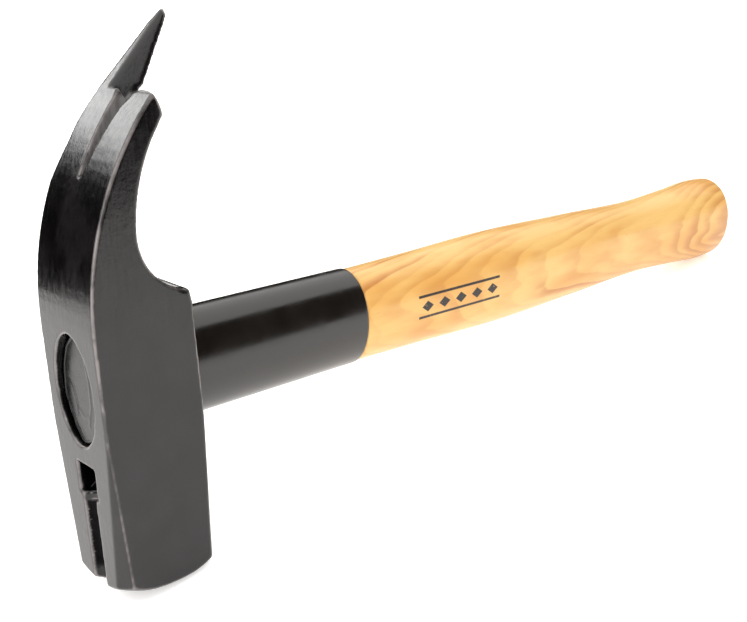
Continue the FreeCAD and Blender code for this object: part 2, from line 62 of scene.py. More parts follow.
def ownPoints(node):
    # a CAD node's points in the hammer's own axes
    turned = nodes[node].data.copy()
    turned.transform(laidDown.inverted())
    points = np.empty(len(turned.vertices) * 3)
    turned.vertices.foreach_get("co", points)
    bpy.data.meshes.remove(turned)
    return points.reshape(-1, 3)


def noiseAt(points, size, seed):
    # Perlin noise at each point, size is the width of one bump in metres
    return np.array([noise.noise(Vector(p)) for p in points / size + seed])


def meshFrom(name, points, faces):
    mesh = bpy.data.meshes.new(name)
    mesh.from_pydata([tuple(p) for p in points], [], faces)
    mesh.validate()
    mesh.update()
    mesh.shade_smooth()
    return mesh


def addPiece(name, mesh, material, slotName, *replaced):
    piece = bpy.data.objects.new(name, mesh)
    bpy.context.scene.collection.objects.link(piece)
    piece.matrix_world = laidDown
    mesh.materials.clear()
    mesh.materials.append(material)
    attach(piece, "root")
    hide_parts(*replaced)


def sweepRings(name, rings, closedLoop=False):
    # rings of equal point counts joined into a skin; open ends get a fan of faces
    count = len(rings[0])
    points = [p for ring in rings for p in ring]
    faces = []
    last = len(rings) if closedLoop else len(rings) - 1
    for i in range(last):
        a, b = i * count, ((i + 1) % len(rings)) * count
        for j in range(count):
            k = (j + 1) % count
            faces.append((a + k, b + k, b + j, a + j))
    if not closedLoop:
        for start, order in ((0, 1), ((len(rings) - 1) * count, -1)):
            centre = len(points)
            points.append(np.mean(points[start:start + count], axis=0))
            for j in range(count):
                k = (j + 1) % count
                face = (centre, start + j, start + k)
                faces.append(face[::-1] if order > 0 else face)
    return meshFrom(name, points, faces)


def ovalRing(x, width, height, count, power=2.0):
    # upright oval across the handle; power over 2 makes its sides fuller
    turn = np.linspace(0, 2 * math.pi, count, endpoint=False)
    c, s = np.cos(turn), np.sin(turn)
    y = np.sign(c) * np.abs(c) ** (2 / power) * width / 2
    z = np.sign(s) * np.abs(s) ** (2 / power) * height / 2
    return np.stack([np.full(count, x), y, z], axis=1)


class Finish:
    # a material and short ways to add its nodes
    def __init__(self, name):
        self.material = bpy.data.materials.new(name)
        self.material.use_nodes = True
        self.tree = self.material.node_tree
        self.surface = self.tree.nodes["Principled BSDF"]
        place = self.tree.nodes.new("ShaderNodeTexCoord")
        self.place = place.outputs["Object"]

    def add(self, kind, inputs, **settings):
        made = self.tree.nodes.new("ShaderNode" + kind)
        for key, value in settings.items():
            setattr(made, key, value)
        for key, value in inputs.items():
            self.feed(made.inputs[key], value)
        return made

    def feed(self, socket, value):
        if isinstance(value, bpy.types.NodeSocket):
            self.tree.links.new(value, socket)
        else:
            socket.default_value = value

    def set(self, **inputs):
        for key, value in inputs.items():
            self.feed(self.surface.inputs[key.replace("_", " ")], value)

    def maths(self, operation, a, b=0.0):
        return self.add("Math", {0: a, 1: b}, operation=operation).outputs[0]

    def spread(self, value, low, high, toLow=0.0, toHigh=1.0):
        made = self.add(
            "MapRange",
            {"Value": value, "From Min": low, "From Max": high,
             "To Min": toLow, "To Max": toHigh},
            interpolation_type="SMOOTHSTEP",
        )
        return made.outputs["Result"]

    def stretched(self, scale):
        return self.add("Mapping", {"Vector": self.place, "Scale": scale}).outputs["Vector"]

    def noise(self, vector, scale, detail=3.0, rough=0.55, distortion=0.0):
        made = self.add(
            "TexNoise",
            {"Vector": vector, "Scale": scale, "Detail": detail,
             "Roughness": rough, "Distortion": distortion},
        )
        return made.outputs["Fac"]

    def mix(self, share, a, b):
        made = self.add("Mix", {}, data_type="RGBA")
        self.feed(made.inputs["Factor"], share)
        self.feed(made.inputs[6], a)
        self.feed(made.inputs[7], b)
        return made.outputs[2]

    def bump(self, height, distance, strength=1.0, under=None):
        inputs = {"Height": height, "Distance": distance, "Strength": strength}
        if under is not None:
            inputs["Normal"] = under
        return self.add("Bump", inputs).outputs["Normal"]


# camera and light
cameraView = {
    "place": (-0.144526, -0.252260, 0.107574),  # in the hammer's own axes
    "heading": 46.86,  # degrees from +X towards +Y
    "fall": 17.45,
    "roll": 0.10,
    "lens": 52.04,
}


def addCamera(view):
    heading, fall, roll = (math.radians(view[k]) for k in ("heading", "fall", "roll"))
    ahead = Vector((
        math.cos(fall) * math.cos(heading),
        math.cos(fall) * math.sin(heading),
        -math.sin(fall),
    ))
    right = ahead.cross(Vector((0, 0, 1))).normalized()
    down = ahead.cross(right)
    right, down = (
        right * math.cos(roll) + down * math.sin(roll),
        down * math.cos(roll) - right * math.sin(roll),
    )
    turn = Matrix((right, -down, -ahead)).transposed().to_4x4()
    lens = bpy.data.cameras.new("camera")
    lens.lens = view["lens"]
    lens.sensor_width = 36
    lens.sensor_fit = "HORIZONTAL"
    lens.clip_start = 0.01
    lens.clip_end = 50
    camera = bpy.data.objects.new("camera", lens)
    bpy.context.scene.collection.objects.link(camera)
    camera.matrix_world = laidDown @ Matrix.Translation(view["place"]) @ turn
    bpy.context.scene.camera = camera


studio = {
    "skyStrength": 2.05,
    "horizonTop": 0.34,  # sine of the height where the dark band round the studio ends
    "skyStart": 0.47,
    "horizonColour": (0.012, 0.012, 0.012, 1),
    "skyColour": (1.0, 0.985, 0.965, 1),
    "floorColour": (0.90, 0.895, 0.885, 1),
    "floorSize": 6.0,
    "floorGlow": 0.45,  # the floor glows a little, so shadows on it stay faint
    "glowColour": (1, 0.985, 0.98, 1),
    "softboxes": [  # place, width and height, power
        ((-0.42, 1.05, 0.71), (0.55, 0.28), 2.4),
        ((-1.15, -0.55, 0.34), (0.45, 0.60), 6.5),
    ],
    "aim": (-0.1, 0, 0.06),  # where both softboxes point
    "cardColour": (0.004, 0.004, 0.004, 1),
    "cards": [  # black cards seen only in reflections: place, half width and height
        ((0.20, -0.39, 0.30), (0.80, 0.30)),
        ((-0.22, -0.39, 0.90), (0.36, 0.30)),
        ((-0.75, 0.50, 0.11), (1.1, 0.11)),
    ],
}


def addSky(values):
    scene = bpy.context.scene
    scene.view_settings.view_transform = "Standard"
    world = bpy.data.worlds.new("studio")
    scene.world = world
    world.use_nodes = True
    tree = world.node_tree
    tree.nodes.clear()
    place = tree.nodes.new("ShaderNodeTexCoord")
    split = tree.nodes.new("ShaderNodeSeparateXYZ")
    ramp = tree.nodes.new("ShaderNodeValToRGB")
    ramp.color_ramp.interpolation = "EASE"
    ramp.color_ramp.elements[0].position = values["horizonTop"]
    ramp.color_ramp.elements[0].color = values["horizonColour"]
    ramp.color_ramp.elements[1].position = values["skyStart"]
    ramp.color_ramp.elements[1].color = values["skyColour"]
    light = tree.nodes.new("ShaderNodeBackground")
    light.inputs["Strength"].default_value = values["skyStrength"]
    plain = tree.nodes.new("ShaderNodeBackground")
    plain.inputs["Color"].default_value = (1, 1, 1, 1)
    rays = tree.nodes.new("ShaderNodeLightPath")
    blend = tree.nodes.new("ShaderNodeMixShader")
    out = tree.nodes.new("ShaderNodeOutputWorld")
    link = tree.links.new
    link(place.outputs["Generated"], split.inputs[0])
    link(split.outputs["Z"], ramp.inputs["Fac"])
    link(ramp.outputs["Color"], light.inputs["Color"])
    link(rays.outputs["Is Camera Ray"], blend.inputs["Fac"])
    link(light.outputs[0], blend.inputs[1])
    link(plain.outputs[0], blend.inputs[2])
    link(blend.outputs[0], out.inputs["Surface"])


def addFloor(values):
    paint = Finish("paleFloor")
    paint.set(Base_Color=values["floorColour"], Roughness=0.9, Specular_IOR_Level=0.1)
    paint.set(Emission_Color=values["glowColour"], Emission_Strength=values["floorGlow"])
    half = values["floorSize"]
    floorMesh = meshFrom(
        "floor",
        [(-half, -half, 0), (half, -half, 0), (half, half, 0), (-half, half, 0)],
        [(0, 1, 2, 3)],
    )
    floorMesh.materials.append(paint.material)
    floor = bpy.data.objects.new("floor", floorMesh)
    bpy.context.scene.collection.objects.link(floor)


def addSoftboxes(values):
    for place, size, power in values["softboxes"]:
        box = bpy.data.lights.new("softbox", "AREA")
        box.shape = "RECTANGLE"
        box.size, box.size_y = size
        box.energy = power
        lamp = bpy.data.objects.new("softbox", box)
        bpy.context.scene.collection.objects.link(lamp)
        lamp.location = place
        aim = Vector(values["aim"]) - lamp.location
        lamp.rotation_mode = "QUATERNION"
        lamp.rotation_quaternion = aim.to_track_quat("-Z", "Y")


def addCards(values):
    black = Finish("blackCard")
    black.set(Base_Color=values["cardColour"], Roughness=1.0, Specular_IOR_Level=0.0)
    signs = ((-1, -1), (1, -1), (1, 1), (-1, 1))
    for (x, y, z), (wide, tall) in values["cards"]:
        corners = [(x + a * wide, y, z + b * tall) for a, b in signs]
        cardMesh = meshFrom("blackCard", corners, [(0, 1, 2, 3)])
        cardMesh.materials.append(black.material)
        card = bpy.data.objects.new("blackCard", cardMesh)
        bpy.context.scene.collection.objects.link(card)
        card.visible_camera = False
        card.visible_diffuse = False
        card.visible_shadow = False
        card.visible_transmission = False


addCamera(cameraView)
addSky(studio)
addFloor(studio)
addSoftboxes(studio)
addCards(studio)
print("camera and studio ready")


# forged head
headForm = {
    "voxel": 0.00032,
    "relaxing": 0.5,  # share of the way to its neighbours that a point moves
    "roundingPasses": 4,
    "calmHeight": 0.005,  # the tine's tip keeps more of its edge
    "calmShare": 0.32,
    "lacquerThickness": 0.00017,
    "tineStart": (0.0765, 0.0790),  # height over which the tine begins
    "tineEdge": (-0.0005, 0.0010),  # and how far across
    "tipReach": (0.0040, 0.0010),  # below the tip
    "tipCalm": 0.6,
    "tinePasses": 12,  # the tine's thin edges need more, and some metal put back
    "tineFill": 0.00022,
    "tineWearGlint": 0.7,  # share by which the tine's edges get less of the lighter edge colour, worn lacquer with a painted highlight
    "channelMiddle": 0.0006,  # the nail channel's near side is a little deeper
    "channelHalf": 0.0031,
    "channelSoft": 0.0006,
    "channelTop": -0.0335,
    "channelRunOut": 0.0015,
    "channelFloor": (0.0003, 0.0009),  # behind the front face
    "channelSide": (-0.0027, -0.0002),
    "channelFacing": (0.2, 0.5),  # how squarely a face looks forwards
    "channelDepth": 0.0024,
    "prongMiddle": (0.0046, -0.0100, 0.0752),  # end of the short prong
    "prongFacing": (0.85, 0.0, 0.53),
    "prongTurn": (0.35, 0.80),
    "prongReach": 0.0062,
    "prongSwell": 0.0019,
    "spotCore": 0.4,  # share of a soft spot's reach that is softened fully
    "forgingDepth": 0.00004,
    "forgingSize": 0.012,
    "eyeHalf": (0.0102, 0.0167),  # half the eye's width and height
    "eyeDepth": (0.0004, 0.0009),
    "pocketBox": (-0.0045, 0.0057, -0.0325, -0.0212),  # across from, to; up from, to
    "pocketDepth": (0.0009, 0.0018),
    "slotMiddle": 0.001,
    "slotHalf": 0.0012,
    "slotFacing": (0.4, 0.7),
    "slotDepth": (0.0005, 0.0009),
    "slotStart": (0.0570, 0.0580),
    "slotTop": 0.0780,
}

# places that wear or forging rounded more than the other edges:
# middle, reach, passes, and which axes count
softSpots = [
    ((0.0018, -0.0052, 0.0775), 0.0035, 22, (1, 1, 1)),  # the prong's corner on the slot
    ((0.0050, -0.0100, 0.0735), 0.0042, 14, (1, 0.5, 1)),  # the prong's rear corner
    ((0.0105, 0.0, 0.0275), 0.0050, 26, (1, 0, 1)),  # shoulder over the sleeve
    ((-0.0170, -0.0006, -0.0310), 0.0040, 8, (1, 0.6, 1)),  # lip of the nail pocket
]


def relax(points, edges, passes, strength):
    count = np.bincount(edges.ravel(), minlength=len(points)).astype(float)
    for _ in range(passes):
        total = np.empty_like(points)
        for axis in range(3):
            total[:, axis] = np.bincount(
                edges[:, 0], points[edges[:, 1], axis], len(points)
            ) + np.bincount(edges[:, 1], points[edges[:, 0], axis], len(points))
        points += (total / count[:, None] - points) * strength
    return points


def normalsOf(mesh, points):
    # puts the points into the mesh and gives their normals
    mesh.vertices.foreach_set("co", points.ravel())
    mesh.update()
    normals = np.empty(len(mesh.vertices) * 3)
    mesh.vertices.foreach_get("normal", normals)
    return normals.reshape(-1, 3)


def depthOf(points):
    # how far each point lies behind the head's front face
    step = 0.00025
    x, z = points[:, 0], points[:, 2]
    row = np.round((z - z.min()) / step).astype(int)
    front = np.full(row.max() + 1, 1.0)
    np.minimum.at(front, row, x)
    return x - np.interp((z - z.min()) / step, np.arange(len(front)), front)


def saveOn(mesh, name, values):
    mesh.attributes.new(name, "FLOAT", "POINT").data.foreach_set("value", values)


def voxelSkin(form):
    # fine even skin over the CAD head
    mesh = nodes["hammer_head"].data.copy()
    mesh.transform(laidDown.inverted())
    body = bpy.data.objects.new("headWork", mesh)
    bpy.context.scene.collection.objects.link(body)
    skin = body.modifiers.new("skin", "REMESH")
    skin.mode = "VOXEL"
    skin.voxel_size = form["voxel"]
    depsgraph = bpy.context.evaluated_depsgraph_get()
    fine = bpy.data.meshes.new_from_object(body.evaluated_get(depsgraph))
    bpy.data.objects.remove(body)
    points = np.empty(len(fine.vertices) * 3)
    fine.vertices.foreach_get("co", points)
    edges = np.empty(len(fine.edges) * 2, dtype=np.int64)
    fine.edges.foreach_get("vertices", edges)
    return fine, points.reshape(-1, 3), edges.reshape(-1, 2)


# the next steps move the head's points in place

def roundEdges(points, edges, tip, form):
    atTip = smoothStep(points[:, 2], tip - form["calmHeight"], tip)
    strength = form["relaxing"] - form["calmShare"] * atTip
    relax(points, edges, form["roundingPasses"], strength[:, None])


def tineShare(points, tip, form):
    # 1 on the tine, less just under its tip and 0 elsewhere
    y, z = points[:, 1], points[:, 2]
    below, close = form["tipReach"]
    share = smoothStep(z, *form["tineStart"]) * smoothStep(y, *form["tineEdge"])
    return share * (1 - form["tipCalm"] * smoothStep(z, tip - below, tip - close))


def smoothTine(fine, points, edges, tine, form):
    relax(points, edges, form["tinePasses"], (form["relaxing"] * tine)[:, None])
    points += normalsOf(fine, points) * (tine * form["tineFill"])[:, None]


def deepenChannel(points, normals, form):
    y, z = points[:, 1], points[:, 2]
    half = form["channelHalf"]
    channel = 1 - smoothStep(np.abs(y - form["channelMiddle"]), half - form["channelSoft"], half)
    channel *= smoothStep(form["channelTop"] - z, 0, form["channelRunOut"])
    channel *= smoothStep(depthOf(points), *form["channelFloor"])
    channel *= smoothStep(form["channelMiddle"] - y, *form["channelSide"])
    channel *= smoothStep(-normals[:, 0], *form["channelFacing"])
    points[:, 0] += channel * form["channelDepth"]


def swellProng(points, normals, form):
    # the short prong's end, and the lacquer over the whole head
    away = np.linalg.norm(points - np.array(form["prongMiddle"]), axis=1)
    outwards = smoothStep(normals @ np.array(form["prongFacing"]), *form["prongTurn"])
    swell = form["prongSwell"] * (1 - smoothStep(away, 0, form["prongReach"])) * outwards
    points += normals * (swell + form["lacquerThickness"])[:, None]


def softenSpots(points, edges, form):
    for middle, reach, passes, axes in softSpots:
        away = np.linalg.norm((points - np.array(middle)) * np.array(axes), axis=1)
        strength = form["relaxing"] * (1 - smoothStep(away, reach * form["spotCore"], reach))
        relax(points, edges, passes, strength[:, None])


def forgingWaves(points, form):
    size, depth = form["forgingSize"], form["forgingDepth"]
    waves = noiseAt(points, size, 3.1) * depth
    waves += noiseAt(points, size / 3, 8.7) * depth / 4
    return waves


def inHollows(points, depth, form):
    # over 0 in the eye and in the nail pocket, where painted shade darkens the lacquer
    y, z = points[:, 1], points[:, 2]
    eyeWide, eyeTall = form["eyeHalf"]
    y0, y1, z0, z1 = form["pocketBox"]
    inEye = (y / eyeWide) ** 2 + (z / eyeTall) ** 2 < 1
    hollowShade = inEye * smoothStep(depth, *form["eyeDepth"])
    inPocket = (y > y0) * (y < y1) * (z > z0) * (z < z1)
    return hollowShade + inPocket * smoothStep(depth, *form["pocketDepth"])


def onSlotWall(points, normals, depth, form):
    # the wall of the claw's slot on the side of the tine, which gets painted light and more
    # roughness
    y, z = points[:, 1], points[:, 2]
    wall = smoothStep(-normals[:, 1], *form["slotFacing"])
    wall *= smoothStep(depth, *form["slotDepth"])
    wall *= np.abs(y - form["slotMiddle"]) < form["slotHalf"]
    return wall * (smoothStep(z, *form["slotStart"]) * smoothStep(form["slotTop"] - z, 0, 0.002))


def forgedHeadMesh(form):
    # the CAD head with its edges rounded as a forging's are
    fine, points, edges = voxelSkin(form)
    tip = points[:, 2].max()
    roundEdges(points, edges, tip, form)
    tine = tineShare(points, tip, form)
    smoothTine(fine, points, edges, tine, form)

    normals = normalsOf(fine, points)
    deepenChannel(points, normals, form)
    swellProng(points, normals, form)
    softenSpots(points, edges, form)

    normals = normalsOf(fine, points)
    bend = np.einsum("ij,ij->i", points - relax(points.copy(), edges, 2, 1.0), normals)
    points += normals * forgingWaves(points, form)[:, None]
    normalsOf(fine, points)  # the final points go into the mesh

    depth = depthOf(points)
    saveOn(fine, "edge", bend / form["voxel"] * (1 - form["tineWearGlint"] * tine))
    saveOn(fine, "hollowShade", inHollows(points, depth, form))
    saveOn(fine, "slotWall", onSlotWall(points, normals, depth, form))
    fine.shade_smooth()
    fine.name = "hammerHead"
    print("head skin:", len(fine.vertices), "points")
    return fine


lacquerLook = {
    "dark": (0.0012, 0.0010, 0.0011, 1),
    "light": (0.0052, 0.0044, 0.0049, 1),
    # light grey on sharp edges: lacquer worn thin, and a painted highlight line along the edges
    "wornAndGlint": (0.36, 0.325, 0.32, 1),
    # near black painted into the eye and the nail pocket as shade
    "hollowShade": (0.0006, 0.0006, 0.0006, 1),
    # lighter grey painted on the slot's wall as light, standing in for the reflection it shows
    "ground": (0.125, 0.120, 0.118, 1),
    "roughLow": 0.13,
    "roughHigh": 0.26,
    "wearGlintStart": 0.05,  # how sharp an edge is where its lighter colour starts: lacquer worn thin, and a painted highlight line
    "wearGlintFull": 0.24,
    "wearGlintShare": 0.45,
    "groundRough": 0.35,  # added to the roughness of the slot's wall
}


def headLacquer(look):
    finish = Finish("headLacquer")
    cloudy = finish.noise(finish.place, 90, 4, 0.6)
    streaks = finish.noise(finish.stretched((900, 900, 130)), 1.0, 4, 0.6, 0.6)
    grit = finish.noise(finish.place, 2600, 2, 0.5)
    peel = finish.noise(finish.place, 700, 2, 0.5)
    colour = finish.mix(finish.spread(cloudy, 0.35, 0.68), look["dark"], look["light"])
    edge = finish.add("Attribute", {}, attribute_name="edge").outputs["Fac"]
    # sharp edges made lighter: lacquer worn thin, with a painted highlight line
    wearAndGlint = finish.maths(
        "MULTIPLY",
        finish.spread(edge, look["wearGlintStart"], look["wearGlintFull"]),
        finish.spread(cloudy, 0.36, 0.60, 0.25, 1.0),
    )
    colour = finish.mix(finish.maths("MULTIPLY", wearAndGlint, look["wearGlintShare"]), colour, look["wornAndGlint"])
    hollowShade = finish.add("Attribute", {}, attribute_name="hollowShade").outputs["Fac"]
    slotWall = finish.add("Attribute", {}, attribute_name="slotWall").outputs["Fac"]
    # painted shade: the eye and the nail pocket darkened towards black
    colour = finish.mix(hollowShade, colour, look["hollowShade"])
    # painted light: the slot's wall turned a lighter grey in streaks, standing in for its
    # reflection
    slotLightShare = finish.maths("MULTIPLY", slotWall, finish.spread(streaks, 0.3, 0.6, 0.6, 1.0))
    colour = finish.mix(slotLightShare, colour, look["ground"])
    shine = finish.maths(
        "ADD", finish.maths("MULTIPLY", streaks, 0.6), finish.maths("MULTIPLY", cloudy, 0.4)
    )
    rough = finish.spread(shine, 0.3, 0.7, look["roughLow"], look["roughHigh"])
    rough = finish.maths("ADD", rough, finish.maths("MULTIPLY", slotWall, look["groundRough"]))
    normal = finish.bump(streaks, 0.00005, 0.5)
    normal = finish.bump(peel, 0.00005, 0.5, normal)
    normal = finish.bump(grit, 0.000015, 0.5, normal)
    finish.set(
        Base_Color=colour,
        Roughness=rough,
        IOR=1.46,
        Normal=normal,
    )
    return finish.material


addPiece(
    "hammerHead", forgedHeadMesh(headForm), headLacquer(lacquerLook), "head_lacquer", "hammer_head"
)
print("head made")


# steel sleeve
sleeveForm = {
    "start": 0.00925,
    "end": 0.0790,
    "width": 0.0237,
    "height": 0.0322,
    "wall": 0.0013,
    "lip": 0.0005,  # rounding of the rims
}


def sleeveMesh(form):
    start, end, wall, lip = (form[k] for k in ("start", "end", "wall", "lip"))
    profile = []  # (place along the handle, depth under the outer face)
    for x in np.arange(start + lip, end - lip, 0.001):
        profile.append((x, 0.0))
    corner = np.linspace(0, math.pi / 2, 6)
    profile += [(end - lip + lip * math.sin(a), lip - lip * math.cos(a)) for a in corner]
    profile += [(end - lip + lip * math.cos(a), wall - lip + lip * math.sin(a)) for a in corner]
    for x in np.arange(end - lip - 0.001, start + lip, -0.001):
        profile.append((x, wall))
    profile += [(start + lip - lip * math.sin(a), wall - lip + lip * math.cos(a)) for a in corner]
    profile += [(start + lip - lip * math.cos(a), lip - lip * math.sin(a)) for a in corner[:-1]]
    rings = [
        ovalRing(x, form["width"] - 2 * depth, form["height"] - 2 * depth, 192)
        for x, depth in profile
    ]
    return sweepRings("shaftSleeve", rings, closedLoop=True)


sleeveLook = {
    "dark": (0.0032, 0.0025, 0.0020, 1),
    "light": (0.0095, 0.0073, 0.0057, 1),
    "roughLow": 0.17,
    "roughHigh": 0.25,
}


def sleeveLacquer(look):
    finish = Finish("sleeveLacquer")
    cloudy = finish.noise(finish.place, 120, 4, 0.6)
    peel = finish.noise(finish.place, 900, 3, 0.5)
    rubbed = finish.noise(finish.stretched((60, 900, 900)), 1.0, 3, 0.5)
    colour = finish.mix(cloudy, look["dark"], look["light"])
    normal = finish.bump(peel, 0.00002, 0.35)
    normal = finish.bump(rubbed, 0.000008, 0.25, normal)
    finish.set(
        Base_Color=colour,
        Roughness=finish.spread(cloudy, 0.3, 0.7, look["roughLow"], look["roughHigh"]),
        IOR=1.55,
        Normal=normal,
    )
    return finish.material


addPiece(
    "shaftSleeve", sleeveMesh(sleeveForm), sleeveLacquer(sleeveLook),
    "sleeve_lacquer", "shaft_sleeve",
)
print("sleeve made")


# hickory handle
handleForm = {
    "tenon": [(-0.0151, 0.0197, 0.0323), (0.0092, 0.0203, 0.0289)],
    "neckWidth": 0.0210,
    "neckHeight": 0.0295,
    "sleeveEnd": 0.0790,
    "buttEnd": 0.3008,
    "buttRounding": 0.0030,
    "shoulder": 0.0004,  # the grip's edge is eased where it meets the sleeve
    "shoulderRun": 0.0012,
    "roundness": 0.77,
    "fullness": 2.08,
    "heights": [  # place along the handle and height of the grip there
        (0.0790, 0.0309), (0.1066, 0.03205), (0.1480, 0.0343), (0.1970, 0.0326),
        (0.2460, 0.0309), (0.2690, 0.03335), (0.2890, 0.0358), (0.3008, 0.0349),
    ],
}


def smoothCurve(x, places, values):
    # cubic through the given values with slopes taken from their neighbours
    places, values = np.array(places), np.array(values)
    slopes = np.gradient(values, places)
    i = np.clip(np.searchsorted(places, x) - 1, 0, len(places) - 2)
    step = places[i + 1] - places[i]
    t = (x - places[i]) / step
    return (
        (2 * t**3 - 3 * t**2 + 1) * values[i]
        + (t**3 - 2 * t**2 + t) * step * slopes[i]
        + (3 * t**2 - 2 * t**3) * values[i + 1]
        + (t**3 - t**2) * step * slopes[i + 1]
    )


def handleMesh(form):
    count = 192
    rings = []
    for x, width, height in form["tenon"]:
        rings.append(ovalRing(x, width, height, count))
    for x in (form["tenon"][1][0] + 0.0002, form["sleeveEnd"] - 0.0001):
        rings.append(ovalRing(x, form["neckWidth"], form["neckHeight"], count))
    places, heights = zip(*form["heights"])
    for x in np.arange(form["sleeveEnd"], form["buttEnd"] - form["buttRounding"], 0.001):
        height = smoothCurve(x, places, heights)
        eased = smoothStep(x, form["sleeveEnd"], form["sleeveEnd"] + form["shoulderRun"])
        shoulder = form["shoulder"] * (1 - eased)
        rings.append(
            ovalRing(
                x,
                height * form["roundness"] - 2 * shoulder,
                height - 2 * shoulder,
                count,
                form["fullness"],
            )
        )
    r = form["buttRounding"]
    for a in np.linspace(0, math.pi / 2, 10):
        x = form["buttEnd"] - r + r * math.sin(a)
        height = smoothCurve(min(x, places[-1]), places, heights)
        inset = r * (1 - math.cos(a))
        rings.append(
            ovalRing(
                x,
                height * form["roundness"] - 2 * inset,
                height - 2 * inset,
                count,
                form["fullness"],
            )
        )
    last = rings[-1]
    for share in (0.8, 0.55, 0.3, 0.12):
        rings.append(last * np.array((1, share, share)))
    return sweepRings("handle", rings)


woodLook = {
    "pale": (0.64, 0.405, 0.140, 1),
    "warm": (0.57, 0.295, 0.075, 1),
    "streak": (0.41, 0.165, 0.036, 1),
    "ringWidth": 1.75,  # mm
    "pithDepth": 14.0,  # mm from the handle's middle to the tree's pith, at the eye
    "pithSlope": 0.090,
    "pithHeight": 1.0,
    "pithRise": -0.004,
    "sway": 4.6,  # mm that the rings wander
    "swirl": 1.3,
}

stamp = {  # plain ink stamp on the side of the grip: two rules and a row of diamonds
    "middle": (0.1215, 0.0005),
    "halfLength": 0.0200,
    "halfHeight": 0.0036,
    "ruleHalf": 0.00045,
    "step": 0.0080,
    "diamondHalf": (0.0027, 0.0019),
    "shift": 100.5,  # in steps: centres a diamond and keeps the count above zero
    "sideFade": (-0.004, 0.0),  # across the handle, so that one side alone is stamped
    "ink": (0.012, 0.009, 0.008, 1),
}


def stampMask(finish, values):
    split = finish.add("SeparateXYZ", {0: finish.place})
    along = finish.maths("SUBTRACT", split.outputs[0], values["middle"][0])
    up = finish.maths("SUBTRACT", split.outputs[2], values["middle"][1])
    offAlong = finish.maths("ABSOLUTE", along)
    offUp = finish.maths("ABSOLUTE", up)

    def within(value, limit, soft=0.00012):
        return finish.spread(value, limit - soft, limit + soft, 1.0, 0.0)

    fromRule = finish.maths("ABSOLUTE", finish.maths("SUBTRACT", offUp, values["halfHeight"]))
    rules = within(fromRule, values["ruleHalf"])
    turns = finish.maths("ADD", finish.maths("DIVIDE", along, values["step"]), values["shift"])
    inStep = finish.maths(
        "MULTIPLY", finish.maths("SUBTRACT", finish.maths("FRACT", turns), 0.5), values["step"]
    )
    wide, tall = values["diamondHalf"]
    slant = finish.maths(
        "ADD",
        finish.maths("DIVIDE", finish.maths("ABSOLUTE", inStep), wide),
        finish.maths("DIVIDE", offUp, tall),
    )
    diamonds = finish.spread(slant, 0.93, 1.07, 1.0, 0.0)
    mask = finish.maths("MAXIMUM", rules, diamonds)
    mask = finish.maths("MULTIPLY", mask, within(offAlong, values["halfLength"]))
    side = finish.spread(split.outputs[1], *values["sideFade"], 1.0, 0.0)
    gaps = finish.spread(finish.noise(finish.place, 1500, 2), 0.28, 0.38, 0.6, 1.0)
    return finish.maths("MULTIPLY", finish.maths("MULTIPLY", mask, side), gaps)


def hickory(look):
    finish = Finish("hickory")
    mm = finish.add("VectorMath", {0: finish.place, 1: (1000, 1000, 1000)}, operation="MULTIPLY")
    split = finish.add("SeparateXYZ", {0: mm.outputs[0]})
    x, y, z = split.outputs
    sway = finish.noise(finish.stretched((14, 60, 60)), 1.0, 2, 0.5)
    swirl = finish.noise(finish.stretched((30, 110, 110)), 1.0, 3, 0.55)
    pithY = finish.maths("ADD", finish.maths("MULTIPLY", x, look["pithSlope"]), look["pithDepth"])
    pithZ = finish.maths("ADD", finish.maths("MULTIPLY", x, look["pithRise"]), look["pithHeight"])
    dy = finish.maths("SUBTRACT", y, pithY)
    dz = finish.maths("SUBTRACT", z, pithZ)
    flat = finish.add("CombineXYZ", {0: dy, 1: dz})
    radius = finish.add("VectorMath", {0: flat.outputs[0]}, operation="LENGTH").outputs["Value"]
    wander = finish.maths(
        "ADD",
        finish.maths("MULTIPLY", sway, look["sway"]),
        finish.maths("MULTIPLY", swirl, look["swirl"]),
    )
    ringPlace = finish.maths("DIVIDE", finish.maths("ADD", radius, wander), look["ringWidth"])
    ring = finish.maths("FRACT", ringPlace)
    late = finish.maths(
        "MULTIPLY", finish.spread(ring, 0.15, 0.85), finish.spread(ring, 0.88, 1.0, 1.0, 0.0)
    )
    number = finish.maths("FLOOR", ringPlace)
    tone = finish.add("TexWhiteNoise", {"W": number}, noise_dimensions="1D").outputs["Value"]
    patch = finish.noise(finish.stretched((22, 70, 70)), 1.0, 3, 0.5)
    strength = finish.maths(
        "MULTIPLY",
        finish.spread(patch, 0.34, 0.60, 0.18, 1.0),
        finish.spread(tone, 0.1, 0.9, 0.25, 1.0),
    )
    fibres = finish.noise(finish.stretched((90, 2600, 2600)), 1.0, 3, 0.6)
    pores = finish.noise(finish.stretched((260, 3600, 3600)), 1.0, 2, 0.5)
    base = finish.mix(finish.spread(patch, 0.35, 0.70), look["pale"], look["warm"])
    colour = finish.mix(finish.maths("MULTIPLY", late, strength), base, look["streak"])
    colour = finish.mix(finish.spread(fibres, 0.52, 0.75, 0.0, 0.28), colour, look["warm"])
    colour = finish.mix(finish.spread(pores, 0.66, 0.74, 0.0, 0.35), colour, look["streak"])
    colour = finish.mix(stampMask(finish, stamp), colour, stamp["ink"])
    normal = finish.bump(fibres, 0.00003, 0.35)
    normal = finish.bump(pores, 0.00002, 0.3, normal)
    finish.set(
        Base_Color=colour,
        Roughness=finish.spread(fibres, 0.3, 0.7, 0.38, 0.50),
        Specular_IOR_Level=0.22,
        Coat_Weight=0.35,
        Coat_Roughness=0.16,
        Normal=normal,
    )
    return finish.material


addPiece("handle", handleMesh(handleForm), hickory(woodLook), "handle_wood", "handle")
print("handle made")


